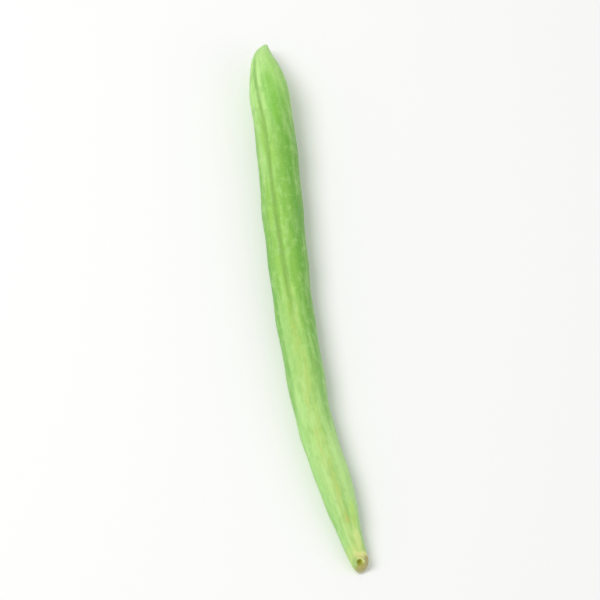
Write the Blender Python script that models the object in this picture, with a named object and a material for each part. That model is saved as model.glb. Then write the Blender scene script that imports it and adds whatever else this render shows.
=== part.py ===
"""A green bean pod, as picked and lying on a table: one grown piece, from the scar where its stalk
broke off, along the plump pod, to the thin curled beak at its far end.

Metres, +Z up. +X runs from the stalk scar to the beak. The pod lies on z = 0, and the origin is at
the middle of its bounding box, on the table.
"""

import math

import bmesh
import bpy
from mathutils import Vector

MM = 0.001

# Driving dimensions.
POD_LENGTH = 140 * MM          # from the scar to the blunt end, along the curve
BEAK_LENGTH = 5.2 * MM         # the thin style that curls on from the blunt end
TIP_LENGTH = 16.5 * MM         # the blunt end rounds off over this length
HEIGHT_TO_WIDTH = 0.97         # across the seams, against across the two flanks
REST_FLAT_DEPTH = 0.18 * MM    # how much of the round underside the resting face takes away

# Full width at a distance from the scar, before the blunt end rounds off.
WIDTH_ALONG_POD = (
    (0 * MM, 3.8 * MM),
    (3 * MM, 4.65 * MM),
    (9 * MM, 5.7 * MM),
    (14 * MM, 7 * MM),
    (19 * MM, 7.3 * MM),
    (25 * MM, 8.15 * MM),
    (34 * MM, 8.05 * MM),
    (50 * MM, 8.7 * MM),
    (72 * MM, 8.95 * MM),
    (95 * MM, 9.6 * MM),
    (118 * MM, 9.4 * MM),
    (140 * MM, 9.3 * MM),
)

# Which way the pod points at a distance from the scar, in degrees: to the left of +X, and how much
# more steeply up than the slope that keeps its underside on the table as it grows thicker.
HEADING_ALONG_POD = (
    (0 * MM, 8.8),
    (4 * MM, 7.7),
    (12 * MM, 6.3),
    (26 * MM, 7.1),
    (40 * MM, 3.2),
    (52 * MM, -1.0),
    (62 * MM, -1.1),
    (71 * MM, -2.0),
    (82 * MM, -4.1),
    (94 * MM, -4.6),
    (108 * MM, -3.9),
    (122 * MM, -1.8),
    (132 * MM, 1.5),
    (138 * MM, -18.2),
    (145.2 * MM, -16.2),
)
LIFT_ALONG_POD = (
    (0 * MM, -3.4),
    (20 * MM, 0.0),
    (96 * MM, 0.0),
    (117 * MM, 5.2),
    (129 * MM, 4.4),
    (138 * MM, -24.0),
    (141 * MM, -70.0),
    (145.2 * MM, -178.0),
)

# How far the upper seam has turned to the left of straight up, in degrees.
SEAM_TURN_ALONG_POD = (
    (0 * MM, 8.5),
    (40 * MM, 7.0),
    (64 * MM, 10.0),
    (80 * MM, 17.5),
    (97 * MM, 26.5),
    (112 * MM, 32.0),
    (126 * MM, 42.0),
    (140 * MM, 47.0),
)

# The seams: a shallow valley where the two flanks meet, between two low cords.
VALLEY_DEPTH = 0.30 * MM
VALLEY_HALF_ANGLE = math.radians(9)
CORD_HEIGHT = 0.07 * MM
CORD_ANGLE = math.radians(20)
CORD_HALF_ANGLE = math.radians(8)
PLUMP_RADIUS = 4.8 * MM        # the radius for which the seam's depths are given

# The seeds show as low swellings. They hang from the two edges of the upper seam turn and turn
# about, so each one pushes out its own flank the most.
SEED_COUNT = 8
FIRST_SEED = 19.5 * MM
SEED_SPACING = 15 * MM
SEED_HALF_LENGTH = 4.4 * MM
SEED_SWELLING = 0.22 * MM
SEED_SIDE_SHARE = 0.4

# The beak, and the scar that the stalk left.
BEAK_ROOT_RADIUS = 0.72 * MM
BEAK_END_RADIUS = 0.20 * MM
SCAR_RINGS = (                 # (distance along the pod, radius), from the pit's floor out to the rim
    (0.75 * MM, 0.42 * MM),
    (0.30 * MM, 0.62 * MM),
    (0.12 * MM, 1.05 * MM),
    (0.00 * MM, 1.50 * MM),
    (0.08 * MM, 1.72 * MM),
)
SCAR_SLANT = 0.9               # how far the scar's upper side is set back, for each unit of height
SCAR_SLANT_LENGTH = 7 * MM     # the slant dies away over this length

# How finely the pod is divided.
SEGMENTS_PER_QUARTER = 7
BODY_RING_SPACING = 2.4 * MM
TIP_RING_SPACING = 0.55 * MM
FINE_TIP_LENGTH = 6 * MM
MARCH_STEP = 0.05 * MM


def clear_scene():
    for obj in list(bpy.data.objects):
        bpy.data.objects.remove(obj, do_unlink=True)


def smooth_value(points, at):
    """Reads a smooth curve through (distance, value) points that never overshoots them."""
    if at <= points[0][0]:
        return points[0][1]
    if at >= points[-1][0]:
        return points[-1][1]
    slopes = [
        (after[1] - before[1]) / (after[0] - before[0])
        for before, after in zip(points, points[1:])
    ]
    tangents = [slopes[0]]
    for left, right in zip(slopes, slopes[1:]):
        same_way = left * right > 0
        tangents.append(2 * left * right / (left + right) if same_way else 0.0)
    tangents.append(slopes[-1])
    span = next(i for i in range(len(slopes)) if at <= points[i + 1][0])
    (start, low), (end, high) = points[span], points[span + 1]
    length = end - start
    t = (at - start) / length
    return (
        low * (1 + 2 * t) * (1 - t) ** 2
        + tangents[span] * length * t * (1 - t) ** 2
        + high * t * t * (3 - 2 * t)
        + tangents[span + 1] * length * t * t * (t - 1)
    )


def bump(distance, half_width):
    """A smooth hump: 1 in its middle, and near 0 past twice its half width."""
    return math.exp(-((distance / half_width) ** 2))


def resting_slope(along):
    """How steeply the pod's middle climbs, in degrees, where its underside lies along the table."""
    thicker = smooth_value(WIDTH_ALONG_POD, along + MM) - smooth_value(WIDTH_ALONG_POD, along - MM)
    return math.degrees(math.atan(HEIGHT_TO_WIDTH * thicker / 2 / (2 * MM)))


def direction_at(along):
    """(forward, left, up): the way the pod points, and its two cross directions."""
    heading = math.radians(smooth_value(HEADING_ALONG_POD, along))
    pitch = math.radians(resting_slope(along) + smooth_value(LIFT_ALONG_POD, along))
    forward = Vector((
        math.cos(pitch) * math.cos(heading),
        math.cos(pitch) * math.sin(heading),
        math.sin(pitch),
    ))
    left = Vector((-math.sin(heading), math.cos(heading), 0))
    return forward, left, forward.cross(left)


def tip_rounding(along):
    """1 along the pod, falling to 0 at its blunt end, which comes to a slight point."""
    to_end = (POD_LENGTH - along) / TIP_LENGTH
    if to_end >= 1:
        return 1.0
    return (1 - (1 - max(to_end, 0.0)) ** 2) ** 0.88


def beak_radius(along):
    past = min(max((along - POD_LENGTH) / BEAK_LENGTH, 0.0), 1.0)
    return BEAK_ROOT_RADIUS + (BEAK_END_RADIUS - BEAK_ROOT_RADIUS) * past ** 0.6


def half_width(along):
    """The pod's half width, which runs smoothly into the beak's radius."""
    pod = smooth_value(WIDTH_ALONG_POD, along) / 2 * tip_rounding(along)
    near_tip = along > POD_LENGTH - TIP_LENGTH
    return (pod ** 3 + beak_radius(along) ** 3) ** (1 / 3) if near_tip else pod


def seed_swelling(along, left_share):
    """How far the seeds push the flank out there; left_share is 1 on the left flank, -1 on the right."""
    swelling = 0.0
    for i in range(SEED_COUNT):
        own_side = -1 if i % 2 == 0 else 1
        strength = SEED_SWELLING * (1 + SEED_SIDE_SHARE * own_side * left_share)
        swelling += strength * bump(along - FIRST_SEED - SEED_SPACING * i, SEED_HALF_LENGTH)
    return swelling * abs(left_share) * tip_rounding(along)


def section_point(along, angle, radius):
    """(towards the upper seam, towards the left flank) of the outline at this angle from the seam."""
    from_seam = min(abs(math.remainder(angle, math.tau)), abs(math.remainder(angle - math.pi, math.tau)))
    relief = CORD_HEIGHT * bump(from_seam - CORD_ANGLE, CORD_HALF_ANGLE)
    relief -= VALLEY_DEPTH * bump(from_seam, VALLEY_HALF_ANGLE)
    out = radius + relief * min(radius / PLUMP_RADIUS, 1.0) ** 2
    flank = out + seed_swelling(along, math.sin(angle))
    return HEIGHT_TO_WIDTH * out * math.cos(angle), flank * math.sin(angle)


def centreline():
    """Places along the pod's middle, (distance, point), marched from the scar in short steps."""
    places = [(0.0, Vector((0, 0, 0)))]
    steps = round((POD_LENGTH + BEAK_LENGTH) / MARCH_STEP)
    for i in range(steps):
        forward, _, _ = direction_at((i + 0.5) * MARCH_STEP)
        places.append(((i + 1) * MARCH_STEP, places[-1][1] + forward * MARCH_STEP))
    return places


def ring_distances():
    """Where the rings go: evenly along the pod, and closer together at its blunt end and beak."""
    body = POD_LENGTH - FINE_TIP_LENGTH
    count = round(body / BODY_RING_SPACING)
    rings = [1 * MM] + [body * (i + 1) / count for i in range(count)]
    fine = round((FINE_TIP_LENGTH + BEAK_LENGTH) / TIP_RING_SPACING)
    rings += [body + (FINE_TIP_LENGTH + BEAK_LENGTH) * (i + 1) / fine for i in range(fine)]
    return rings


def seam_weighted_angle(share):
    """Share 0 to 1 of the way round, as an angle from the upper seam, with more rings by the seams."""
    return math.tau * share - 0.35 * math.sin(2 * math.tau * share)


def place_ring(verts, share_layer, along, radius, places):
    """Puts a ring's vertices round the centreline at this distance, slanted near the scar."""
    middle = places[round(along / MARCH_STEP)][1]
    forward, left, up = direction_at(along)
    slant = SCAR_SLANT * (1 - min(along / SCAR_SLANT_LENGTH, 1)) ** 2
    turn = math.radians(smooth_value(SEAM_TURN_ALONG_POD, along))
    seam_way = up * math.cos(turn) + left * math.sin(turn)
    flank_way = left * math.cos(turn) - up * math.sin(turn)
    for vert in verts:
        to_seam, to_flank = section_point(along, seam_weighted_angle(vert[share_layer]), radius)
        offset = seam_way * to_seam + flank_way * to_flank
        vert.co = middle + offset + forward * slant * offset.dot(up)


def loft_pod(bm):
    """Extrudes one ring from the floor of the scar's pit, over its rim and along to the beak's end."""
    places = centreline()
    segments = 4 * SEGMENTS_PER_QUARTER
    share_layer = bm.verts.layers.float.new("share")
    ring = bmesh.ops.create_circle(bm, segments=segments, radius=1, cap_ends=False)["verts"]
    for vert in ring:
        vert[share_layer] = (math.atan2(vert.co.y, vert.co.x) / math.tau) % 1.0
    edges = list(bm.edges)
    stations = list(SCAR_RINGS) + [(along, half_width(along)) for along in ring_distances()]
    place_ring(ring, share_layer, *stations[0], places)
    for along, radius in stations[1:]:
        grown = bmesh.ops.extrude_edge_only(bm, edges=edges)["geom"]
        ring = [item for item in grown if isinstance(item, bmesh.types.BMVert)]
        ring_set = set(ring)
        edges = [
            item for item in grown
            if isinstance(item, bmesh.types.BMEdge) and set(item.verts) <= ring_set
        ]
        place_ring(ring, share_layer, along, radius, places)
    bmesh.ops.holes_fill(bm, edges=[edge for edge in bm.edges if edge.is_boundary])


def rest_on_table(bm):
    """Centres the pod on the origin and trims its underside to a true face at z = 0."""
    low = Vector(min(vert.co[i] for vert in bm.verts) for i in range(3))
    high = Vector(max(vert.co[i] for vert in bm.verts) for i in range(3))
    middle = (low + high) / 2
    shift = Vector((-middle.x, -middle.y, -low.z - REST_FLAT_DEPTH))
    bmesh.ops.translate(bm, verts=bm.verts, vec=shift)
    bmesh.ops.bisect_plane(
        bm,
        geom=list(bm.verts) + list(bm.edges) + list(bm.faces),
        plane_co=(0, 0, 0),
        plane_no=(0, 0, -1),
        clear_outer=True,
    )
    bmesh.ops.holes_fill(bm, edges=[edge for edge in bm.edges if edge.is_boundary])


def skin_material():
    material = bpy.data.materials.new("bean_skin")
    material.use_nodes = True
    shader = material.node_tree.nodes["Principled BSDF"]
    shader.inputs["Base Color"].default_value = (0.30, 0.56, 0.12, 1)
    shader.inputs["Roughness"].default_value = 0.45
    shader.inputs["Metallic"].default_value = 0.0
    return material


def build_pod():
    bm = bmesh.new()
    loft_pod(bm)
    rest_on_table(bm)
    bmesh.ops.recalc_face_normals(bm, faces=bm.faces)
    mesh = bpy.data.meshes.new("pod")
    bm.to_mesh(mesh)
    bm.free()
    mesh.shade_smooth()
    mesh.set_sharp_from_angle(angle=math.radians(60))
    mesh.materials.append(skin_material())
    pod = bpy.data.objects.new("pod", mesh)
    bpy.context.scene.collection.objects.link(pod)
    return pod


clear_scene()
build_pod()
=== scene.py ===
# %% [markdown]
# # A green bean, as picked
#
# A green bean is a fruit, a pod that grew from one folded leaf. Its two edges met and joined along
# the upper seam, the leaf's midrib became the lower seam, and the seeds hang inside. It grew as one
# piece, so this lesson makes one mesh and gives it one material.
#
# The measured solid of the pod comes first. It says where the bean lies and how big it is, and the
# mesh made below has to fit it.

# %% Load the measured solid
import math

import bmesh
import bpy
from mathutils import Matrix, Vector, noise
from mathutils.bvhtree import BVHTree


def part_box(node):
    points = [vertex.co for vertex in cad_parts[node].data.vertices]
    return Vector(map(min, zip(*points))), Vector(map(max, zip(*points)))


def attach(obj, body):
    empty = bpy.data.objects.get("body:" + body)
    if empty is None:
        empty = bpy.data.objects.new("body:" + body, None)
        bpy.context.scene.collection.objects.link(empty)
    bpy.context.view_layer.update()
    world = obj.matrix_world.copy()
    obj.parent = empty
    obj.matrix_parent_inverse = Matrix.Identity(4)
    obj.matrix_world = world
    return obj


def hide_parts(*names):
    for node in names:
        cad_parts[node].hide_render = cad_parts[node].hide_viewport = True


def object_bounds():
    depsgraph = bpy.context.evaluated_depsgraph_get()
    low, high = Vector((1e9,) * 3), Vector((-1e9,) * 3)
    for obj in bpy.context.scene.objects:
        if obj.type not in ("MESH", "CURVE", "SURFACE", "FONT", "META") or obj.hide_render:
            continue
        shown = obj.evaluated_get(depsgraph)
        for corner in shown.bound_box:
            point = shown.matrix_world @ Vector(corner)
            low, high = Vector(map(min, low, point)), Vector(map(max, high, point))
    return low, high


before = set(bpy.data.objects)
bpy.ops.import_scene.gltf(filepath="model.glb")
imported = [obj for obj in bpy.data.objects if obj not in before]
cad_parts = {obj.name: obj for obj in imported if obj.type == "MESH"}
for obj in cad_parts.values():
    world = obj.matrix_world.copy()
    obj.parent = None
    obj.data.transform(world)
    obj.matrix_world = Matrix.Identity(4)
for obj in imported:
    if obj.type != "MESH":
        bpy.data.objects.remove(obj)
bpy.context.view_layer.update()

MM = 0.001
pod_low, pod_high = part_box("pod")
print("The solid measures", [round(side / MM, 1) for side in pod_high - pod_low], "mm")

# %% [markdown]
# ## How the pod grew
#
# A pod could be sculpted by eye, but a grown thing follows slow curves, and those are easy to say:
# how wide it is, which way it heads, how far it lifts off the table and how far it has twisted, each
# at a few distances from the stalk. Each list below has only as many points as its curve needs. They
# are the same curves that the solid was made from, so the two agree.

# %% The growth curves
POD_LENGTH = 140 * MM
BEAK_LENGTH = 5.2 * MM
TIP_LENGTH = 16.5 * MM
HEIGHT_TO_WIDTH = 0.97
REST_FLAT_DEPTH = 0.18 * MM

WIDTH_ALONG_POD = (
    (0 * MM, 3.8 * MM),
    (3 * MM, 4.65 * MM),
    (9 * MM, 5.7 * MM),
    (14 * MM, 7 * MM),
    (19 * MM, 7.3 * MM),
    (25 * MM, 8.15 * MM),
    (34 * MM, 8.05 * MM),
    (50 * MM, 8.7 * MM),
    (72 * MM, 8.95 * MM),
    (95 * MM, 9.6 * MM),
    (118 * MM, 9.4 * MM),
    (140 * MM, 9.3 * MM),
)
HEADING_ALONG_POD = (
    (0 * MM, 8.8),
    (4 * MM, 7.7),
    (12 * MM, 6.3),
    (26 * MM, 7.1),
    (40 * MM, 3.2),
    (52 * MM, -1.0),
    (62 * MM, -1.1),
    (71 * MM, -2.0),
    (82 * MM, -4.1),
    (94 * MM, -4.6),
    (108 * MM, -3.9),
    (122 * MM, -1.8),
    (132 * MM, 1.5),
    (138 * MM, -18.2),
    (145.2 * MM, -16.2),
)
LIFT_ALONG_POD = (          # degrees steeper than lying on the table
    (0 * MM, -3.4),
    (20 * MM, 0.0),
    (96 * MM, 0.0),
    (117 * MM, 5.2),
    (129 * MM, 4.4),
    (138 * MM, -24.0),
    (141 * MM, -70.0),
    (145.2 * MM, -178.0),
)
SEAM_TURN_ALONG_POD = (
    (0 * MM, 8.5),
    (40 * MM, 7.0),
    (64 * MM, 10.0),
    (80 * MM, 17.5),
    (97 * MM, 26.5),
    (112 * MM, 32.0),
    (126 * MM, 42.0),
    (140 * MM, 47.0),
)


def smooth_value(points, at):
    """Reads a smooth curve through (distance, value) points that never overshoots them."""
    if at <= points[0][0]:
        return points[0][1]
    if at >= points[-1][0]:
        return points[-1][1]
    slopes = [(b[1] - a[1]) / (b[0] - a[0]) for a, b in zip(points, points[1:])]
    tangents = [slopes[0]]
    for left, right in zip(slopes, slopes[1:]):
        same_way = left * right > 0
        tangents.append(2 * left * right / (left + right) if same_way else 0.0)
    tangents.append(slopes[-1])
    span = next(i for i in range(len(slopes)) if at <= points[i + 1][0])
    (start, low), (end, high) = points[span], points[span + 1]
    length = end - start
    t = (at - start) / length
    return (
        low * (1 + 2 * t) * (1 - t) ** 2
        + tangents[span] * length * t * (1 - t) ** 2
        + high * t * t * (3 - 2 * t)
        + tangents[span + 1] * length * t * t * (t - 1)
    )


for place in (0, 35, 70, 105, 135):
    print(place, "mm from the stalk:", round(smooth_value(WIDTH_ALONG_POD, place * MM) / MM, 2), "mm wide")

# %% [markdown]
# ## The middle line
#
# The pod's middle is marched from the stalk in short straight steps, each one along the direction
# that the curves give there. Where the pod lies on the table its middle climbs as fast as its half
# height grows, so that slope is worked out, and the lift curve is added to it. The beak is the same
# line carried on, bent down and back under the blunt end.

# %% The middle line
MARCH_STEP = 0.05 * MM


def resting_slope(along):
    """How steeply the middle climbs, in degrees, where the underside lies along the table."""
    thicker = smooth_value(WIDTH_ALONG_POD, along + MM) - smooth_value(WIDTH_ALONG_POD, along - MM)
    return math.degrees(math.atan(HEIGHT_TO_WIDTH * thicker / 2 / (2 * MM)))


def direction_at(along):
    """(forward, left, up): the way the pod points, and its two cross directions."""
    heading = math.radians(smooth_value(HEADING_ALONG_POD, along))
    pitch = math.radians(resting_slope(along) + smooth_value(LIFT_ALONG_POD, along))
    forward = Vector((
        math.cos(pitch) * math.cos(heading),
        math.cos(pitch) * math.sin(heading),
        math.sin(pitch),
    ))
    left = Vector((-math.sin(heading), math.cos(heading), 0))
    return forward, left, forward.cross(left)


middle_line = [Vector((0, 0, 0))]
for step in range(round((POD_LENGTH + BEAK_LENGTH) / MARCH_STEP)):
    forward, _, _ = direction_at((step + 0.5) * MARCH_STEP)
    middle_line.append(middle_line[-1] + forward * MARCH_STEP)
print("The middle line has", len(middle_line), "points and ends at", middle_line[-1] / MM)

# %% [markdown]
# ## The plain pod
#
# A loft is the natural way to make a pod: one ring of points, pulled along the middle line, turned
# and scaled as it goes. Each pull is an extrude of the ring's edges, followed by one transform that
# carries the new ring from the last station to the next. The points sit closer together beside the
# seams, because that is where the fine relief comes.
#
# Every point also remembers how far along the pod it grew and how far round from the upper seam. The
# relief and the colours need both, and no flat pattern could follow the bend and the twist as well.

# %% Widths, with the blunt end and the beak
TIP_SHARPNESS = 0.88        # 0.5 would round the end like an ellipse, and 1 bring it to a point
BEAK_ROOT_RADIUS = 0.72 * MM
BEAK_END_RADIUS = 0.20 * MM
BEAK_TAPER = 0.6            # 1 would taper the beak evenly, and less tapers its root the most
BEAK_FILLET = 3             # a higher number makes a tighter fillet between pod and beak


def tip_rounding(along):
    """1 along the pod, falling to 0 at its blunt end, which comes to a slight point."""
    to_end = (POD_LENGTH - along) / TIP_LENGTH
    if to_end >= 1:
        return 1.0
    return (1 - (1 - max(to_end, 0.0)) ** 2) ** TIP_SHARPNESS


def beak_radius(along):
    past = min(max((along - POD_LENGTH) / BEAK_LENGTH, 0.0), 1.0)
    return BEAK_ROOT_RADIUS + (BEAK_END_RADIUS - BEAK_ROOT_RADIUS) * past ** BEAK_TAPER


def half_width(along):
    """The pod's half width, which runs smoothly into the beak's radius."""
    pod = smooth_value(WIDTH_ALONG_POD, along) / 2 * tip_rounding(along)
    if along <= POD_LENGTH - TIP_LENGTH:
        return pod
    return (pod ** BEAK_FILLET + beak_radius(along) ** BEAK_FILLET) ** (1 / BEAK_FILLET)


print("Half width where the beak starts:", round(half_width(POD_LENGTH) / MM, 2), "mm")

# %% [markdown]
# ## The scar
#
# The stalk broke off at the thin end and left a scar: a rounded lip of skin, a pale ring of torn
# tissue inside it, and a small pit where the strands of the stalk pulled out. It broke at a slant, so
# its face looks up as well as out. Its stations come before the pod's own, from the floor of the pit
# out to the lip.

# %% Stations of the loft
SCAR_STATIONS = (           # (distance along the pod, radius)
    (0.74 * MM, 0.05 * MM),
    (0.72 * MM, 0.20 * MM),
    (0.64 * MM, 0.34 * MM),
    (0.52 * MM, 0.45 * MM),
    (0.40 * MM, 0.54 * MM),
    (0.30 * MM, 0.64 * MM),
    (0.21 * MM, 0.78 * MM),
    (0.15 * MM, 0.94 * MM),
    (0.13 * MM, 1.10 * MM),
    (0.14 * MM, 1.26 * MM),
    (0.17 * MM, 1.40 * MM),
    (0.11 * MM, 1.52 * MM),
    (0.03 * MM, 1.61 * MM),
    (0.00 * MM, 1.68 * MM),
    (0.03 * MM, 1.75 * MM),
    (0.12 * MM, 1.81 * MM),
    (0.26 * MM, 1.86 * MM),
)
FIRST_SKIN_STATION = 0.45 * MM
BODY_SPACING = 0.42 * MM
FINE_SPACING = 0.16 * MM
FINE_END_LENGTH = 4 * MM


def spaced(start, end, spacing):
    """Distances from start to end, evenly, with the end left out."""
    count = max(round((end - start) / spacing), 1)
    return [start + (end - start) * i / count for i in range(count)]


skin_stations = spaced(FIRST_SKIN_STATION, FINE_END_LENGTH, FINE_SPACING)
skin_stations += spaced(FINE_END_LENGTH, POD_LENGTH - FINE_END_LENGTH, BODY_SPACING)
skin_stations += spaced(POD_LENGTH - FINE_END_LENGTH, POD_LENGTH + BEAK_LENGTH, FINE_SPACING)
skin_stations.append(POD_LENGTH + BEAK_LENGTH)
stations = list(SCAR_STATIONS) + [(along, half_width(along)) for along in skin_stations]
print("The loft has", len(stations), "rings")

# %% Pull one ring along the middle line
SEGMENTS = 152
SEAM_CROWDING = 0.36        # 0 spaces the ring's points evenly, and 0.5 packs them against the seams
SEAM_WANDER = 2.4           # degrees
SEAM_WANDER_LENGTH = 11 * MM
SEAM_WAVER = 0.9            # degrees
SEAM_WAVER_LENGTH = 3.5 * MM
SCAR_SLANT = 0.9            # how far the scar's upper side is set back, for each unit of its height
SCAR_SLANT_LENGTH = 7 * MM
along_name, around_name, ring_name = "along", "around", "ring"


def seam_turn(along):
    """How far the upper seam has turned there, with the small wander that any grown seam has."""
    wander = SEAM_WANDER * noise.noise((along / SEAM_WANDER_LENGTH, 0, 0))
    wander += SEAM_WAVER * noise.noise((along / SEAM_WAVER_LENGTH, 5, 0))
    return math.radians(smooth_value(SEAM_TURN_ALONG_POD, along) + wander)


def station_matrix(along, radius):
    """Carries a flat ring of radius 1, whose +X points at the upper seam, to its station."""
    forward, left, up = direction_at(along)
    turn = seam_turn(along)
    seam_way = up * math.cos(turn) + left * math.sin(turn)
    flank_way = left * math.cos(turn) - up * math.sin(turn)
    slant = SCAR_SLANT * (1 - min(along / SCAR_SLANT_LENGTH, 1)) ** 2
    seam_way += forward * slant * seam_way.dot(up)
    flank_way += forward * slant * flank_way.dot(up)
    middle = middle_line[round(along / MARCH_STEP)]
    matrix = Matrix.Identity(4)
    matrix.col[0] = (*(seam_way * radius * HEIGHT_TO_WIDTH), 0)
    matrix.col[1] = (*(flank_way * radius), 0)
    matrix.col[2] = (*(forward * radius), 0)
    matrix.col[3] = (*middle, 1)
    return matrix


def start_ring(bm):
    """A circle whose points crowd towards the two seams; each keeps its angle from the upper one."""
    around = bm.verts.layers.float.new(around_name)
    ring = bmesh.ops.create_circle(bm, segments=SEGMENTS, radius=1, cap_ends=False)["verts"]
    for vert in ring:
        share = (math.atan2(vert.co.y, vert.co.x) / math.tau) % 1.0
        angle = math.tau * share - SEAM_CROWDING * math.sin(2 * math.tau * share)
        vert.co = (math.cos(angle), math.sin(angle), 0)
        vert[around] = angle
    return ring, list(bm.edges)


def pull_ring(bm, edges):
    """Extrudes the ring's edges, and returns the new ring and its edges."""
    grown = bmesh.ops.extrude_edge_only(bm, edges=edges)["geom"]
    ring = [item for item in grown if isinstance(item, bmesh.types.BMVert)]
    fresh = set(ring)
    edges = [
        item for item in grown
        if isinstance(item, bmesh.types.BMEdge) and item.verts[0] in fresh and item.verts[1] in fresh
    ]
    return ring, edges


pod_bm = bmesh.new()
along_layer = pod_bm.verts.layers.float.new(along_name)
ring_layer = pod_bm.verts.layers.int.new(ring_name)
ring, ring_edges = start_ring(pod_bm)
last_matrix = Matrix.Identity(4)
for number, (along, radius) in enumerate(stations):
    if number:
        ring, ring_edges = pull_ring(pod_bm, ring_edges)
    matrix = station_matrix(along, radius)
    bmesh.ops.transform(pod_bm, matrix=matrix @ last_matrix.inverted(), verts=ring)
    last_matrix = matrix
    for vert in ring:
        vert[along_layer] = along
        vert[ring_layer] = number
    if number == 0:
        pit_ring = ring
around_layer = pod_bm.verts.layers.float[around_name]
print("The plain pod has", len(pod_bm.verts), "points")

# %% [markdown]
# ## Close the ends
#
# The loft is an open tube so far. Each end ring is drawn together to one point, which closes it with
# a fan of small triangles and leaves no hole, whatever looks at it.

# %% Close the ends
for end_ring in (pit_ring, ring):
    centre = sum((vert.co for vert in end_ring), Vector()) / len(end_ring)
    bmesh.ops.pointmerge(pod_bm, verts=end_ring, merge_co=centre)
bmesh.ops.recalc_face_normals(pod_bm, faces=pod_bm.faces)
print("Open edges left:", sum(edge.is_boundary for edge in pod_bm.edges))

# %% [markdown]
# ## The relief
#
# Up close a pod is not a smooth tube. Each seam is a narrow crease in a shallow valley, between two
# low cords of stringy fibre. The seeds push the flanks out a little, each one its own flank the most,
# because they hang from the two edges of the seam turn and turn about. And the wall grew unevenly, so
# it has faint dents and long, soft ridges.
#
# All of it could be faked in a material, but the outline and the highlights would give that away. So
# every point is moved along its own normal instead, by the sum of these small heights.

# %% Heights of the seams
VALLEY_DEPTH = 0.24 * MM
VALLEY_HALF_ANGLE = math.radians(9)
SOFT_VALLEY_SHARE = 0.12
CREASE_DEPTH = 0.084 * MM
CREASE_HALF_ANGLE = math.radians(2.6)
SOFT_SEAM_END = 46 * MM
CRISP_SEAM_START = 74 * MM
SEAM_FADE_START = 100 * MM
SEAM_FADE_END = 120 * MM
SEAM_FADE = 0.9
CORD_HEIGHT = 0.08 * MM
CORD_ANGLE = math.radians(19)
CORD_HALF_ANGLE = math.radians(7)
PLUMP_RADIUS = 4.8 * MM
SLIM_FADE = 1.6             # the seams' relief shrinks faster than the pod where it gets slim


def bump(distance, half_width):
    """A smooth hump: 1 in its middle, and near 0 past twice its half width."""
    return math.exp(-((distance / half_width) ** 2))


def ramp(value, start, end):
    """Goes smoothly from 0 to 1 as the value goes from start to end."""
    share = min(max((value - start) / (end - start), 0.0), 1.0)
    return share * share * (3 - 2 * share)


def seam_relief(along, angle, radius):
    """Height of the valley, the crease and the cords. The seam is crisp only on the pod's middle."""
    crisp = ramp(along, SOFT_SEAM_END, CRISP_SEAM_START)
    crisp *= 1 - SEAM_FADE * ramp(along, SEAM_FADE_START, SEAM_FADE_END)
    valley_share = SOFT_VALLEY_SHARE + (1 - SOFT_VALLEY_SHARE) * crisp
    from_upper = abs(math.remainder(angle, math.tau))
    from_seam = min(from_upper, math.pi - from_upper)
    height = CORD_HEIGHT * bump(from_seam - CORD_ANGLE, CORD_HALF_ANGLE)
    height -= VALLEY_DEPTH * valley_share * bump(from_seam, VALLEY_HALF_ANGLE)
    height -= CREASE_DEPTH * crisp * bump(from_seam, CREASE_HALF_ANGLE)
    return height * min(radius / PLUMP_RADIUS, 1.0) ** SLIM_FADE


crisp_seam = seam_relief(CRISP_SEAM_START, 0, PLUMP_RADIUS)
print("The seam lies", round(-crisp_seam / MM, 2), "mm deep where it is crisp")

# %% Heights of the seeds
SEED_COUNT = 8
FIRST_SEED = 19.5 * MM
SEED_SPACING = 15 * MM
SEED_HALF_LENGTH = 4.4 * MM
SEED_SWELLING = 0.22 * MM
SEED_SIDE_SHARE = 0.4


def seed_relief(along, angle):
    """Height of the seeds' swellings, which show on both flanks and on their own flank the most."""
    side = math.sin(angle)
    height = 0.0
    for number in range(SEED_COUNT):
        own_side = -1 if number % 2 == 0 else 1
        strength = SEED_SWELLING * (1 + SEED_SIDE_SHARE * own_side * side)
        height += strength * bump(along - FIRST_SEED - SEED_SPACING * number, SEED_HALF_LENGTH)
    return height * side * side * tip_rounding(along)


last_seed = FIRST_SEED + SEED_SPACING * (SEED_COUNT - 1)
print("The last seed lies", round(last_seed / MM, 1), "mm from the stalk")

# %% Heights of the uneven growth
DENT_HEIGHT = 0.10 * MM
DENT_LENGTH = 8 * MM
DENT_WIDTH = 5.6 * MM
RIDGE_HEIGHT = 0.030 * MM
RIDGE_LENGTH = 14 * MM
RIDGE_WIDTH = 0.9 * MM
WRINKLE_HEIGHT = 0.035 * MM
WRINKLE_LENGTH = 3.2 * MM
WRINKLE_WIDTH = 0.45 * MM
WRINKLED_END = 26 * MM
WRINKLES_ELSEWHERE = 0.3
GROWN_RADIUS = 4.6 * MM


def grown_place(along, angle):
    """Where a point would be if the pod had grown straight, round and even."""
    return Vector((along, GROWN_RADIUS * math.cos(angle), GROWN_RADIUS * math.sin(angle)))


def stretched(place, length, width):
    return Vector((place.x / length, place.y / width, place.z / width))


def growth_relief(along, angle, radius):
    """Height of the dents, the long ridges and, near the stalk, the finer wrinkles."""
    place = grown_place(along, angle)
    plump = min(radius / PLUMP_RADIUS, 1.0)
    height = DENT_HEIGHT * noise.noise(stretched(place, DENT_LENGTH, DENT_WIDTH))
    height += RIDGE_HEIGHT * noise.noise(stretched(place, RIDGE_LENGTH, RIDGE_WIDTH))
    wrinkled = WRINKLES_ELSEWHERE + (1 - WRINKLES_ELSEWHERE) * bump(along, WRINKLED_END)
    height += WRINKLE_HEIGHT * wrinkled * noise.noise(stretched(place, WRINKLE_LENGTH, WRINKLE_WIDTH))
    return height * plump


print("The ridges are", RIDGE_WIDTH / MM, "mm apart and", RIDGE_LENGTH / MM, "mm long")

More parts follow.
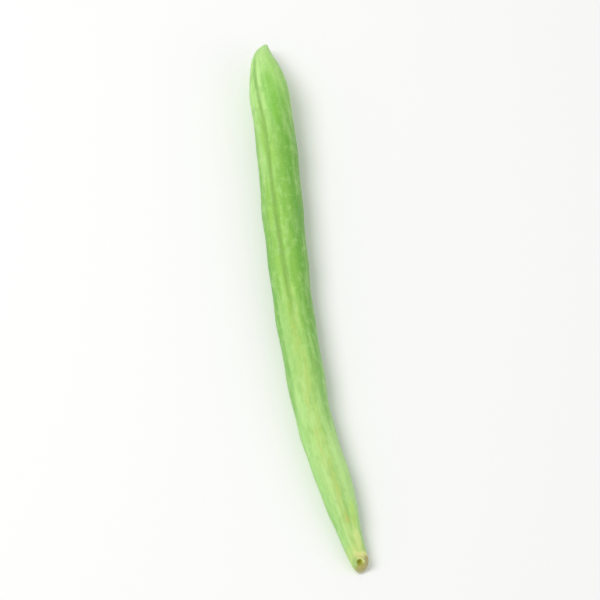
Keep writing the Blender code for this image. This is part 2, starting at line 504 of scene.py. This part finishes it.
# %% Heights of the lip and the scar
LIP_FLARE = 0.38 * MM
LIP_FLARE_ANGLE = math.radians(285)
LIP_FLARE_HALF_ANGLE = 0.9
LIP_UNEVENNESS = 0.07 * MM
LIP_LUMPS = 2.2             # how fast the lip's edge changes round the scar
LIP_INNER_RADIUS = 1.25 * MM
LIP_TOP_RADIUS = 1.55 * MM
LIP_LENGTH = 1.3 * MM
TORN_HEIGHT = 0.06 * MM
TORN_LUMPS = 3
TORN_SPACING = 0.28 * MM
STRAND_COUNT = 9
STRAND_HEIGHT = 0.03 * MM
STRAND_RADIUS = 0.9 * MM
STRAND_HALF_WIDTH = 0.4 * MM


def lip_relief(along, angle, radius):
    """Height of the lip's flare, which is thickest on one side, and of its uneven edge."""
    from_flare = math.remainder(angle - LIP_FLARE_ANGLE, math.tau)
    flare = LIP_FLARE * bump(from_flare, LIP_FLARE_HALF_ANGLE)
    uneven = LIP_UNEVENNESS * noise.noise((LIP_LUMPS * math.cos(angle), LIP_LUMPS * math.sin(angle), 7))
    return (flare + uneven) * ramp(radius, LIP_INNER_RADIUS, LIP_TOP_RADIUS) * bump(along, LIP_LENGTH)


def scar_relief(angle, radius):
    """Height of the torn fibres and of the strands round the pit."""
    place = Vector((TORN_LUMPS * math.cos(angle), TORN_LUMPS * math.sin(angle), radius / TORN_SPACING))
    torn = TORN_HEIGHT * noise.noise(place)
    strands = STRAND_HEIGHT * math.sin(STRAND_COUNT * angle + 2 * noise.noise(place * 0.6))
    return torn + strands * bump(radius - STRAND_RADIUS, STRAND_HALF_WIDTH)


print("The lip's flare stands", round(lip_relief(0, LIP_FLARE_ANGLE, LIP_TOP_RADIUS) / MM, 2), "mm out")

# %% Press the relief into the pod
pod_bm.normal_update()
moves = []
for vert in pod_bm.verts:
    along, angle, number = vert[along_layer], vert[around_layer], vert[ring_layer]
    radius = stations[number][1]
    if number < len(SCAR_STATIONS):
        height = scar_relief(angle, radius)
    else:
        height = seam_relief(along, angle, radius) + seed_relief(along, angle)
        height += growth_relief(along, angle, radius)
    height += lip_relief(along, angle, radius)
    moves.append(vert.normal * height)
for vert, move in zip(pod_bm.verts, moves):
    vert.co += move
print("The relief moves a point by at most", round(max(move.length for move in moves) / MM, 2), "mm")

# %% [markdown]
# ## Lay it on the table
#
# The pod is set down where the solid lies: centred on it in plan, and low enough that its soft
# underside settles by a fraction of a millimetre. The points that would sink into the table are
# lifted back to it, which gives the narrow flat strip that a resting bean has. The gap between the
# mesh and the solid is then measured everywhere, because a mesh that strays from the solid would
# break what stands on it.

# %% Lay it on the table
xs, ys, _ = zip(*(vert.co for vert in pod_bm.verts))
body_low = min(vert.co.z for vert in pod_bm.verts if vert[along_layer] < POD_LENGTH - TIP_LENGTH)
shift = Vector((
    (pod_low.x + pod_high.x - min(xs) - max(xs)) / 2,
    (pod_low.y + pod_high.y - min(ys) - max(ys)) / 2,
    pod_low.z - body_low - REST_FLAT_DEPTH,
))
bmesh.ops.translate(pod_bm, verts=pod_bm.verts, vec=shift)
for vert in pod_bm.verts:
    vert.co.z = max(vert.co.z, pod_low.z)


def tree_of(node):
    vertices = [vert.co for vert in node.data.vertices]
    return BVHTree.FromPolygons(vertices, [face.vertices for face in node.data.polygons])


solid_tree = tree_of(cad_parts["pod"])
gaps = [solid_tree.find_nearest(vert.co)[3] for vert in pod_bm.verts]
print("The mesh strays from the solid by at most", round(max(gaps) / MM, 2), "mm")

# %% [markdown]
# ## One object, with what its points remember
#
# The mesh becomes an object. The colours below need to know how each point grew, so four things are
# written onto the points as attributes: the distance along the pod, how far round from the upper seam
# it is, how far from the middle of the scar, and its place on the pod as if it had grown straight.
# Streaks drawn in that straight space bend and twist with the real pod.
#
# The points come in the same order each time the script runs, but the extrude leaves the edges and
# faces in any order. They are sorted by their points first, so that each run makes the same mesh.

# %% Put the edges and faces in order
def by_points(element):
    """A number that sorts edges and faces by the points that they join; three points tell them apart."""
    order = 0
    for number in sorted(vert.index for vert in element.verts)[:3]:
        order = order * len(pod_bm.verts) + number
    return order


pod_bm.verts.index_update()
pod_bm.edges.sort(key=by_points)
pod_bm.faces.sort(key=by_points)
print("In order:", len(pod_bm.edges), "edges and", len(pod_bm.faces), "faces")

# %% Make the object
for face in pod_bm.faces:
    face.smooth = True
pod_mesh = bpy.data.meshes.new("green_bean")
pod_bm.to_mesh(pod_mesh)
green_bean = bpy.data.objects.new("green_bean", pod_mesh)
bpy.context.scene.collection.objects.link(green_bean)
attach(green_bean, "root")
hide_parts("pod")
print("The bean has", sum(len(face.vertices) - 2 for face in pod_mesh.polygons), "triangles")

# %% Write the attributes
LIP_END, LIP_RADIUS = SCAR_STATIONS[-1]


def from_scar_middle(along, number):
    """How far a ring lies from the middle of the scar, over the lip and then along the skin."""
    if number < len(SCAR_STATIONS):
        return stations[number][1]
    return LIP_RADIUS + along - LIP_END


def write_numbers(mesh, name, numbers):
    attribute = mesh.attributes.new(name, "FLOAT", "POINT")
    attribute.data.foreach_set("value", numbers)


def write_places(mesh, name, places):
    attribute = mesh.attributes.new(name, "FLOAT_VECTOR", "POINT")
    attribute.data.foreach_set("vector", [part for place in places for part in place])


memory = [(vert[along_layer], vert[around_layer], vert[ring_layer]) for vert in pod_bm.verts]
turns = [abs(math.remainder(angle, math.tau)) for _, angle, _ in memory]
write_numbers(pod_mesh, "along_mm", [along / MM for along, _, _ in memory])
write_numbers(pod_mesh, "from_seam", [math.degrees(turn) for turn in turns])
write_numbers(pod_mesh, "scar_mm", [from_scar_middle(along, number) / MM for along, _, number in memory])
write_places(pod_mesh, "grown", [grown_place(along, angle) for along, angle, _ in memory])
pod_bm.free()
print("Attributes:", [attribute.name for attribute in pod_mesh.attributes])

# %% [markdown]
# ## Helpers for the finish
#
# A skin like this needs many small layers, and each layer is the same idea: a mask that says where,
# a colour that says what, and a mix of the two over the layers below. A few helpers keep each layer
# to a line or two, and each returns the socket that the next one takes.

# %% Node helpers
def paint(red, green, blue):
    """A colour from a paint chart, 0 to 255, as the linear values that a shader takes."""
    shares = (value / 255 for value in (red, green, blue))
    linear = [share / 12.92 if share <= 0.04045 else ((share + 0.055) / 1.055) ** 2.4 for share in shares]
    return (*linear, 1)


def add_node(tree, kind, **settings):
    node = tree.nodes.new(kind)
    for name, value in settings.items():
        setattr(node, name, value)
    return node


def feed(tree, socket, value):
    """Joins a socket to another one, or sets it to a plain value."""
    if isinstance(value, bpy.types.NodeSocket):
        tree.links.new(value, socket)
    else:
        socket.default_value = value


def remembered(tree, name, output="Fac"):
    return add_node(tree, "ShaderNodeAttribute", attribute_name=name).outputs[output]


def sums(tree, operation, first, second=0.0):
    node = add_node(tree, "ShaderNodeMath", operation=operation)
    feed(tree, node.inputs[0], first)
    feed(tree, node.inputs[1], second)
    return node.outputs[0]


def ease(tree, value, start, end, low=0.0, high=1.0):
    """Goes smoothly from low to high as the value goes from start to end, which may run downwards."""
    node = add_node(tree, "ShaderNodeMapRange", interpolation_type="SMOOTHSTEP")
    for socket, given in zip(node.inputs, (value, start, end, low, high)):
        feed(tree, socket, given)
    return node.outputs[0]


def grain(tree, place, length, width, detail=2.0, seed=0.0):
    """Noise stretched along the pod, about 0 to 1; length and width are the size of a grain."""
    stretch = add_node(tree, "ShaderNodeMapping")
    feed(tree, stretch.inputs["Vector"], place)
    stretch.inputs["Scale"].default_value = (1 / length, 1 / width, 1 / width)
    stretch.inputs["Location"].default_value = (seed, seed * 0.7, seed * 1.3)
    node = add_node(tree, "ShaderNodeTexNoise")
    feed(tree, node.inputs["Vector"], stretch.outputs[0])
    node.inputs["Scale"].default_value = 1.0
    node.inputs["Detail"].default_value = detail
    return node.outputs[0]


def specks(tree, place, spacing, seed=0.0):
    """Distance from the nearest of many scattered points, as a share of their spacing."""
    stretch = add_node(tree, "ShaderNodeMapping")
    feed(tree, stretch.inputs["Vector"], place)
    stretch.inputs["Scale"].default_value = (1 / spacing,) * 3
    stretch.inputs["Location"].default_value = (seed,) * 3
    node = add_node(tree, "ShaderNodeTexVoronoi")
    feed(tree, node.inputs["Vector"], stretch.outputs[0])
    node.inputs["Scale"].default_value = 1.0
    return node.outputs["Distance"]


def layer(tree, below, mask, colour):
    """Lays a colour over what is below it, where the mask says."""
    node = add_node(tree, "ShaderNodeMix", data_type="RGBA")
    feed(tree, node.inputs["Factor"], mask)
    feed(tree, node.inputs["A"], below)
    feed(tree, node.inputs["B"], colour)
    return node.outputs["Result"]


print("Mid green is", [round(value, 3) for value in paint(126, 180, 78)])

# %% [markdown]
# ## The colours of the skin
#
# A fresh bean is not one green. The flanks are painted the deepest, which is painted shade on the
# sides that turn from the light. The cords beside the seams are paler, so they show as two pale
# bands with a thin olive line between them. Towards the stalk the whole pod pales to yellow-green,
# partly its own colour and partly painted light bounced from the floor, while the middle is partly
# darkened with painted shade. It ends in cream beside the scar. Everything is broken up by
# streaks that run with the fibres, since that is how the green grew.
#
# The order of the layers matters: the broad changes go down first, then the streaks, then the seam
# line and the small marks, and the scar last of all.

# %% Paints
# The stalk greens are partly painted light bounced from the floor, the middle ones partly painted shade.
BAND_STALK = paint(182, 220, 130)
BAND_MIDDLE = paint(152, 204, 86)
BAND_TIP = paint(186, 230, 138)
# The flank greens are darker as painted shade on the sides that turn from the light.
SHADED_FLANK_STALK = paint(168, 218, 128)
SHADED_FLANK_MIDDLE = paint(116, 178, 64)
SHADED_FLANK_TIP = paint(160, 216, 108)
DARK_STREAK = paint(104, 170, 60)
PALE_STREAK = paint(190, 230, 146)
# Painted shade: the darker green laid in the seam's valley.
SEAM_SHADE_GREEN = paint(98, 156, 50)
SEAM_OLIVE = paint(136, 176, 76)
SEAM_TAN = paint(178, 204, 100)
FLECK_BROWN = paint(200, 188, 92)
# Pale pores, which at the blunt end also stand for painted glints.
PALE_PORES_AND_GLINTS = paint(208, 236, 172)
NECK_YELLOW = paint(214, 228, 134)
SCAR_CREAM = paint(226, 232, 148)
# The scar's olive and the lip's tan are partly painted shade on the low side, which faces the floor.
SCAR_OLIVE_AND_SHADE = paint(184, 180, 104)
LIP_TAN_AND_SHADE = paint(176, 164, 118)
PIT_OLIVE = paint(162, 168, 36)
BEAK_STRAW = paint(190, 190, 112)
print("The paints are mixed")

# %% Broad changes of green
skin = bpy.data.materials.new("bean_skin")
skin.use_nodes = True
tree = skin.node_tree
shader = tree.nodes["Principled BSDF"]

along = remembered(tree, "along_mm")
around = remembered(tree, "from_seam")
scar = remembered(tree, "scar_mm")
grown_at = remembered(tree, "grown", "Vector")
places = add_node(tree, "ShaderNodeSeparateXYZ")
feed(tree, places.inputs[0], grown_at)
left_mm = sums(tree, "MULTIPLY", places.outputs["Z"], 1 / MM)
from_nearest = sums(tree, "MINIMUM", around, sums(tree, "SUBTRACT", 180.0, around))


def three_greens(stalk, middle, tip):
    """One green on the stalk half, one in the middle and one on the blunt third, with soft borders.
    The stalk half is paler partly as painted floor bounce, the middle darker partly as painted shade.
    """
    drift = sums(tree, "MULTIPLY", grain(tree, grown_at, 22 * MM, 3 * MM, seed=9), 24.0)
    uneven = sums(tree, "ADD", along, drift)
    near_stalk = layer(tree, middle, ease(tree, uneven, 88.0, 36.0), stalk)
    return layer(tree, near_stalk, ease(tree, uneven, 120.0, 140.0), tip)


def broad_green():
    """Pale bands beside both seams, and flanks between them made deeper as painted shade."""
    wander = sums(tree, "MULTIPLY", grain(tree, grown_at, 16 * MM, 2.4 * MM), 22.0)
    wandered = sums(tree, "ADD", from_nearest, sums(tree, "SUBTRACT", wander, 11.0))
    band = three_greens(BAND_STALK, BAND_MIDDLE, BAND_TIP)
    flank = three_greens(SHADED_FLANK_STALK, SHADED_FLANK_MIDDLE, SHADED_FLANK_TIP)
    return layer(tree, band, ease(tree, wandered, 10.0, 62.0), flank)


green = broad_green()
print("The broad greens take", len(tree.nodes), "nodes")

# %% Streaks and mottling
def streaked(below):
    """Long streaks and short ones along the fibres, and blotches a millimetre or two across."""
    long_grain = grain(tree, grown_at, 38 * MM, 1.5 * MM, seed=3)
    long_dark = layer(tree, below, ease(tree, long_grain, 0.46, 0.70, 0.0, 0.34), DARK_STREAK)
    pale_grain = grain(tree, grown_at, 10 * MM, 1.2 * MM, 1.0, seed=5)
    pale = layer(tree, long_dark, ease(tree, pale_grain, 0.46, 0.78, 0.0, 0.40), PALE_STREAK)
    fine_grain = grain(tree, grown_at, 6 * MM, 0.42 * MM, 2.0, seed=12)
    fine = layer(tree, pale, ease(tree, fine_grain, 0.46, 0.80, 0.0, 0.22), DARK_STREAK)
    dark_blotch = grain(tree, grown_at, 3.2 * MM, 1.7 * MM, 3.0, seed=21)
    blotched = layer(tree, fine, ease(tree, dark_blotch, 0.46, 0.70, 0.0, 0.30), DARK_STREAK)
    pale_blotch = grain(tree, grown_at, 2.2 * MM, 1.4 * MM, 2.0, seed=26)
    return layer(tree, blotched, ease(tree, pale_blotch, 0.48, 0.72, 0.0, 0.30), PALE_STREAK)


green = streaked(green)
print("With the streaks,", len(tree.nodes), "nodes")

# %% The seam
def seam_line(below):
    """A valley darkened green as painted shade, with a thin olive line, which melts into a tan
    streak on the stalk half.
    """
    crisp = ease(tree, along, 54.0, 76.0)
    at_tip = ease(tree, along, 106.0, 124.0, 1.0, 0.15)
    painted_valley_shade = sums(tree, "MULTIPLY", ease(tree, from_nearest, 13.0, 4.0, 0.0, 0.34), crisp)
    valley = sums(tree, "MULTIPLY", painted_valley_shade, at_tip)
    green = layer(tree, below, valley, SEAM_SHADE_GREEN)
    ragged = sums(tree, "MULTIPLY", grain(tree, grown_at, 1.6 * MM, 0.5 * MM), 4.0)
    line = ease(tree, sums(tree, "ADD", from_nearest, ragged), 9.6, 3.4)
    strength = ease(tree, grain(tree, grown_at, 9 * MM, 5 * MM, seed=31), 0.34, 0.62, 0.3, 0.8)
    line = sums(tree, "MULTIPLY", line, strength)
    mask = sums(tree, "MULTIPLY", line, sums(tree, "MULTIPLY", crisp, at_tip))
    return layer(tree, green, mask, SEAM_OLIVE)


def tan_streak(below):
    """The soft tan streak that takes the line's place from the middle of the pod to the stalk."""
    blotch = ease(tree, grain(tree, grown_at, 3.4 * MM, 0.9 * MM, 3.0, seed=33), 0.36, 0.62, 0.15, 0.9)
    spread = ease(tree, from_nearest, 24.0, 5.0, 0.0, 0.75)
    there = ease(tree, along, 80.0, 62.0)
    mask = sums(tree, "MULTIPLY", sums(tree, "MULTIPLY", blotch, spread), there)
    return layer(tree, below, mask, SEAM_TAN)


def flecked(below):
    """A few orange-brown flecks beside the upper seam, on the half next to the stalk."""
    fleck = ease(tree, grain(tree, grown_at, 1.2 * MM, 0.4 * MM, 1.0, seed=44), 0.66, 0.76)
    beside = ease(tree, around, 20.0, 10.0)
    near_stalk = ease(tree, along, 70.0, 50.0, 0.0, 0.2)
    mask = sums(tree, "MULTIPLY", sums(tree, "MULTIPLY", fleck, beside), near_stalk)
    return layer(tree, below, mask, FLECK_BROWN)


green = flecked(tan_streak(seam_line(green)))
print("With the seam,", len(tree.nodes), "nodes")

# %% [markdown]
# ## Marks of its own
#
# Noise alone gives a skin that is everywhere the same. A real pod has marks that happened once: a
# dark streak where a leaf shaded it, a scuff, a fleck where it rubbed a stem. Each one is a soft
# ragged spot, placed by how far along the pod and how far round from the upper seam it lies, so the
# list below reads like notes made while turning the bean.
# Some spots in the list are painted light, not marks: pale painted highlights on the right of the blunt
# end, pale painted light bounced from the floor near the stalk, and dark painted shade in the seam's
# groove.

# %% Marks of its own
MARKS = (       # (distance along, degrees round to the left, length, width, paint, strength)
    (123 * MM, -40, 8 * MM, 1.9 * MM, paint(124, 196, 54), 0.55),
    # The two dark seam spots below are painted shade in the seam's groove near the blunt end.
    (130 * MM, 2, 6 * MM, 0.7 * MM, SEAM_SHADE_GREEN, 0.25),
    (124 * MM, -2, 5 * MM, 0.8 * MM, SEAM_SHADE_GREEN, 0.30),
    (118 * MM, 1, 6 * MM, 0.7 * MM, SEAM_OLIVE, 0.45),
    (106 * MM, 24, 7 * MM, 1.1 * MM, PALE_STREAK, 0.50),
    (91 * MM, -70, 6 * MM, 1.5 * MM, DARK_STREAK, 0.45),
    (79 * MM, 82, 9 * MM, 1.6 * MM, DARK_STREAK, 0.40),
    (68.5 * MM, 84, 0.9 * MM, 0.7 * MM, paint(92, 98, 40), 0.85),
    (60 * MM, 33, 13 * MM, 1.4 * MM, PALE_STREAK, 0.38),
    (52 * MM, 62, 5 * MM, 1.2 * MM, DARK_STREAK, 0.30),
    (43 * MM, 70, 4 * MM, 1.4 * MM, DARK_STREAK, 0.45),
    (41 * MM, 34, 6 * MM, 1.2 * MM, PALE_STREAK, 0.55),
    (28 * MM, -30, 5 * MM, 0.9 * MM, PALE_STREAK, 0.50),
    (10.4 * MM, -11, 1.2 * MM, 0.5 * MM, FLECK_BROWN, 0.55),
    (16.5 * MM, -1, 2.2 * MM, 0.6 * MM, FLECK_BROWN, 0.15),
    # Painted highlights: the next two pale spots, on the right of the blunt end.
    (136 * MM, -40, 7 * MM, 2.6 * MM, paint(198, 236, 150), 0.45),
    (131 * MM, -75, 8 * MM, 2.4 * MM, paint(174, 224, 122), 0.60),
    # Painted light bounced from the floor: the next long pale spot, on the right flank near the stalk.
    (20 * MM, -52, 17 * MM, 2.6 * MM, paint(200, 238, 152), 0.55),
    (11 * MM, -42, 4.5 * MM, 1.5 * MM, paint(194, 232, 104), 0.50),
    (5.0 * MM, -36, 4.0 * MM, 1.9 * MM, paint(226, 240, 150), 0.65),
    (57 * MM, 168, 1.1 * MM, 0.6 * MM, FLECK_BROWN, 0.60),
    (98 * MM, -140, 1.4 * MM, 0.9 * MM, paint(110, 116, 52), 0.60),
    (33 * MM, -128, 6 * MM, 1.4 * MM, DARK_STREAK, 0.45),
)


def marked(below, along, degrees_left, length, width, colour, strength):
    """Lays one soft, ragged spot of a colour on the pod."""
    place = grown_place(along, math.radians(degrees_left))
    centre = add_node(tree, "ShaderNodeMapping")
    feed(tree, centre.inputs["Vector"], grown_at)
    centre.inputs["Scale"].default_value = (1 / length, 1 / width, 1 / width)
    centre.inputs["Location"].default_value = (-place.x / length, -place.y / width, -place.z / width)
    away = add_node(tree, "ShaderNodeVectorMath", operation="LENGTH")
    feed(tree, away.inputs[0], centre.outputs[0])
    ragged = sums(tree, "ADD", away.outputs["Value"], edge_raggedness)
    return layer(tree, below, ease(tree, ragged, 1.25, 0.45, 0.0, strength), colour)


edge_raggedness = sums(tree, "MULTIPLY", grain(tree, grown_at, 1.4 * MM, 0.7 * MM, 3.0, seed=58), 0.9)
edge_raggedness = sums(tree, "SUBTRACT", edge_raggedness, 0.45)
for mark in MARKS:
    green = marked(green, *mark)
print("The pod has", len(MARKS), "marks of its own")

# %% Breathing pores, partly painted glints
def speckled(below):
    """Tiny pale breathing pores, crowded and bright at the blunt end and faint elsewhere. At the
    blunt end they are partly painted glints.
    """
    pores = ease(tree, specks(tree, grown_at, 0.62 * MM), 0.32, 0.12)
    strength = ease(tree, along, 122.0, 137.0, 0.14, 0.85)
    return layer(tree, below, sums(tree, "MULTIPLY", pores, strength), PALE_PORES_AND_GLINTS)


green = speckled(green)
print("With the pores,", len(tree.nodes), "nodes")

# %% The two ends
def ended(below):
    """Yellow and cream skin beside the scar, and a straw-coloured beak."""
    patch = grain(tree, grown_at, 4 * MM, 1.6 * MM, seed=52)
    uneven = sums(tree, "ADD", along, sums(tree, "MULTIPLY", patch, 3.0))
    yellow = layer(tree, below, ease(tree, uneven, 7.0, 3.0, 0.0, 0.35), NECK_YELLOW)
    cream_share = ease(tree, left_mm, 3.0, -0.5, 0.2, 0.9)
    cream_mask = sums(tree, "MULTIPLY", ease(tree, uneven, 3.0, 1.9), cream_share)
    cream = layer(tree, yellow, cream_mask, SCAR_CREAM)
    return layer(tree, cream, ease(tree, along, 139.0, 143.0, 0.0, 0.9), BEAK_STRAW)


def scarred(below):
    """The scar: cream above and olive-brown below its pit, with a lip that is tan low and to the right.
    The olive and tan on the low side, which faces the floor, are partly painted shade.
    """
    torn = sums(tree, "ADD", scar, sums(tree, "MULTIPLY", grain(tree, grown_at, 1 * MM, 0.5 * MM), 0.4))
    low_side = sums(tree, "ADD", around, sums(tree, "MULTIPLY", torn, 10.0))
    low_right = sums(tree, "SUBTRACT", low_side, sums(tree, "MULTIPLY", left_mm, 7.0))
    greener = layer(tree, SCAR_CREAM, ease(tree, left_mm, -0.5, 3.5, 0.0, 0.9), BAND_STALK)
    face = layer(tree, greener, ease(tree, low_side, 100.0, 150.0), SCAR_OLIVE_AND_SHADE)
    lip = layer(tree, greener, ease(tree, low_right, 80.0, 126.0), LIP_TAN_AND_SHADE)
    lip_share = ease(tree, left_mm, 0.0, 4.0, 0.95, 0.75)
    lip_mask = sums(tree, "MULTIPLY", ease(tree, torn, 2.3, 2.0), lip_share)
    with_lip = layer(tree, below, lip_mask, lip)
    with_face = layer(tree, with_lip, ease(tree, torn, 1.65, 1.35), face)
    return layer(tree, with_face, ease(tree, torn, 1.08, 0.64), PIT_OLIVE)


feed(tree, shader.inputs["Base Color"], scarred(ended(green)))
print("The whole colour takes", len(tree.nodes), "nodes")

# %% [markdown]
# ## The shine of the skin
#
# The skin has a thin wax on it, so it is neither matt nor glossy, and the wax is uneven. Under the
# wax the cells are small bumps in rows along the pod. Light also goes a little way into the flesh and
# comes out again, which softens the shadows and makes the pod look juicy: that is the subsurface part
# of the shader. The bumps here are only those too small to be worth points in the mesh.

# %% Wax, cells and flesh
def fine_bumps():
    """Rows of cells, pores and fine fibres, as one normal."""
    fibres = grain(tree, grown_at, 5 * MM, 0.22 * MM, 3.0, seed=61)
    cells = specks(tree, grown_at, 0.34 * MM, seed=7)
    fine = add_node(tree, "ShaderNodeBump")
    fine.inputs["Strength"].default_value = 1.0
    fine.inputs["Distance"].default_value = 0.035 * MM
    feed(tree, fine.inputs["Height"], fibres)
    small = add_node(tree, "ShaderNodeBump")
    small.inputs["Strength"].default_value = 1.0
    small.inputs["Distance"].default_value = 0.012 * MM
    feed(tree, small.inputs["Height"], cells)
    feed(tree, small.inputs["Normal"], fine.outputs[0])
    return small.outputs[0]


wax = grain(tree, grown_at, 3.5 * MM, 1.1 * MM, 3.0, seed=71)
feed(tree, shader.inputs["Roughness"], ease(tree, wax, 0.3, 0.7, 0.36, 0.56))
feed(tree, shader.inputs["Normal"], fine_bumps())
shader.inputs["Subsurface Weight"].default_value = 0.22
shader.inputs["Subsurface Radius"].default_value = (0.55, 1.0, 0.25)
shader.inputs["Subsurface Scale"].default_value = 1.1 * MM
shader.inputs["IOR"].default_value = 1.43
shader.inputs["Sheen Weight"].default_value = 0.05
shader.inputs["Sheen Roughness"].default_value = 0.45
shader.inputs["Sheen Tint"].default_value = (0.88, 1.0, 0.84, 1)
green_bean.data.materials.append(skin)
print("The skin's material has", len(tree.nodes), "nodes")

# %% [markdown]
# ## Floor and light
#
# A pale floor and a wide soft light from the upper left suit a small, rounded, half-shiny thing: the
# shadow stays light, the pale bands catch the light, and the far flank falls off gently. The bright
# surroundings fill in the rest. The colours are kept plain by the Standard view, which doesn't fade
# strong greens.

# %% Floor
bean_low, bean_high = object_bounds()
bean_size = bean_high - bean_low
bean_centre = (bean_low + bean_high) / 2
FLOOR_SIDE = 60 * bean_size.x

floor_bm = bmesh.new()
bmesh.ops.create_grid(floor_bm, x_segments=1, y_segments=1, size=FLOOR_SIDE / 2)
bmesh.ops.translate(floor_bm, verts=floor_bm.verts, vec=(0, 0, pod_low.z))
floor_mesh = bpy.data.meshes.new("floor")
floor_bm.to_mesh(floor_mesh)
floor_bm.free()
floor = bpy.data.objects.new("floor", floor_mesh)
bpy.context.scene.collection.objects.link(floor)

floor_paint = bpy.data.materials.new("floor_paint")
floor_paint.use_nodes = True
floor_shader = floor_paint.node_tree.nodes["Principled BSDF"]
floor_shader.inputs["Base Color"].default_value = paint(246, 246, 245)
floor_shader.inputs["Roughness"].default_value = 0.7
floor_shader.inputs["Specular IOR Level"].default_value = 0.2
floor_mesh.materials.append(floor_paint)
print("The floor is", round(FLOOR_SIDE, 1), "m across")

# %% Lights
def soft_light(name, direction, distance, side, power):
    """A square lamp that faces the bean."""
    lamp = bpy.data.lights.new(name, "AREA")
    lamp.size = side
    lamp.energy = power
    light = bpy.data.objects.new(name, lamp)
    towards = Vector(direction).normalized()
    light.location = bean_centre + towards * distance
    light.rotation_euler = towards.to_track_quat("Z", "Y").to_euler()
    bpy.context.scene.collection.objects.link(light)
    return light


soft_light("window", (0.20, 0.55, 1.0), 0.8, 0.45, 3.3)
soft_light("fill", (-0.5, -0.7, 0.6), 1.0, 0.7, 1.0)

ROOM_BRIGHTNESS = 0.60
world = bpy.data.worlds.new("studio")
bpy.context.scene.world = world
world.use_nodes = True
world.node_tree.nodes["Background"].inputs["Color"].default_value = (1, 1, 1, 1)
world.node_tree.nodes["Background"].inputs["Strength"].default_value = ROOM_BRIGHTNESS
bpy.context.scene.view_settings.view_transform = "Standard"
print("Two soft lights and a pale room")

# %% [markdown]
# ## Camera
#
# The camera looks down on the bean from beyond its stalk end, so that the scar is near and the blunt
# end is far. A long lens from far back keeps the bean's taper true. Its lens is worked out from its
# distance, the bean's length and the share of the picture that it should fill.

# %% Camera
CAMERA_HEIGHT_ANGLE = math.radians(60.8)
CAMERA_TURN = math.radians(-9.3)
CAMERA_DISTANCE = 2.4
PICTURE_SHARE = 0.88

looking = Vector((
    math.cos(CAMERA_HEIGHT_ANGLE) * math.cos(CAMERA_TURN),
    math.cos(CAMERA_HEIGHT_ANGLE) * math.sin(CAMERA_TURN),
    -math.sin(CAMERA_HEIGHT_ANGLE),
))
camera_data = bpy.data.cameras.new("camera")
camera = bpy.data.objects.new("camera", camera_data)
camera.location = bean_centre - looking * CAMERA_DISTANCE
camera.rotation_euler = looking.to_track_quat("-Z", "Y").to_euler()
bpy.context.scene.collection.objects.link(camera)
bpy.context.scene.camera = camera
seen_length = bean_size.x * math.sin(CAMERA_HEIGHT_ANGLE)
camera_data.lens = camera_data.sensor_width * CAMERA_DISTANCE * PICTURE_SHARE / seen_length
camera_data.clip_start = 0.01
print("Lens:", round(camera_data.lens), "mm")
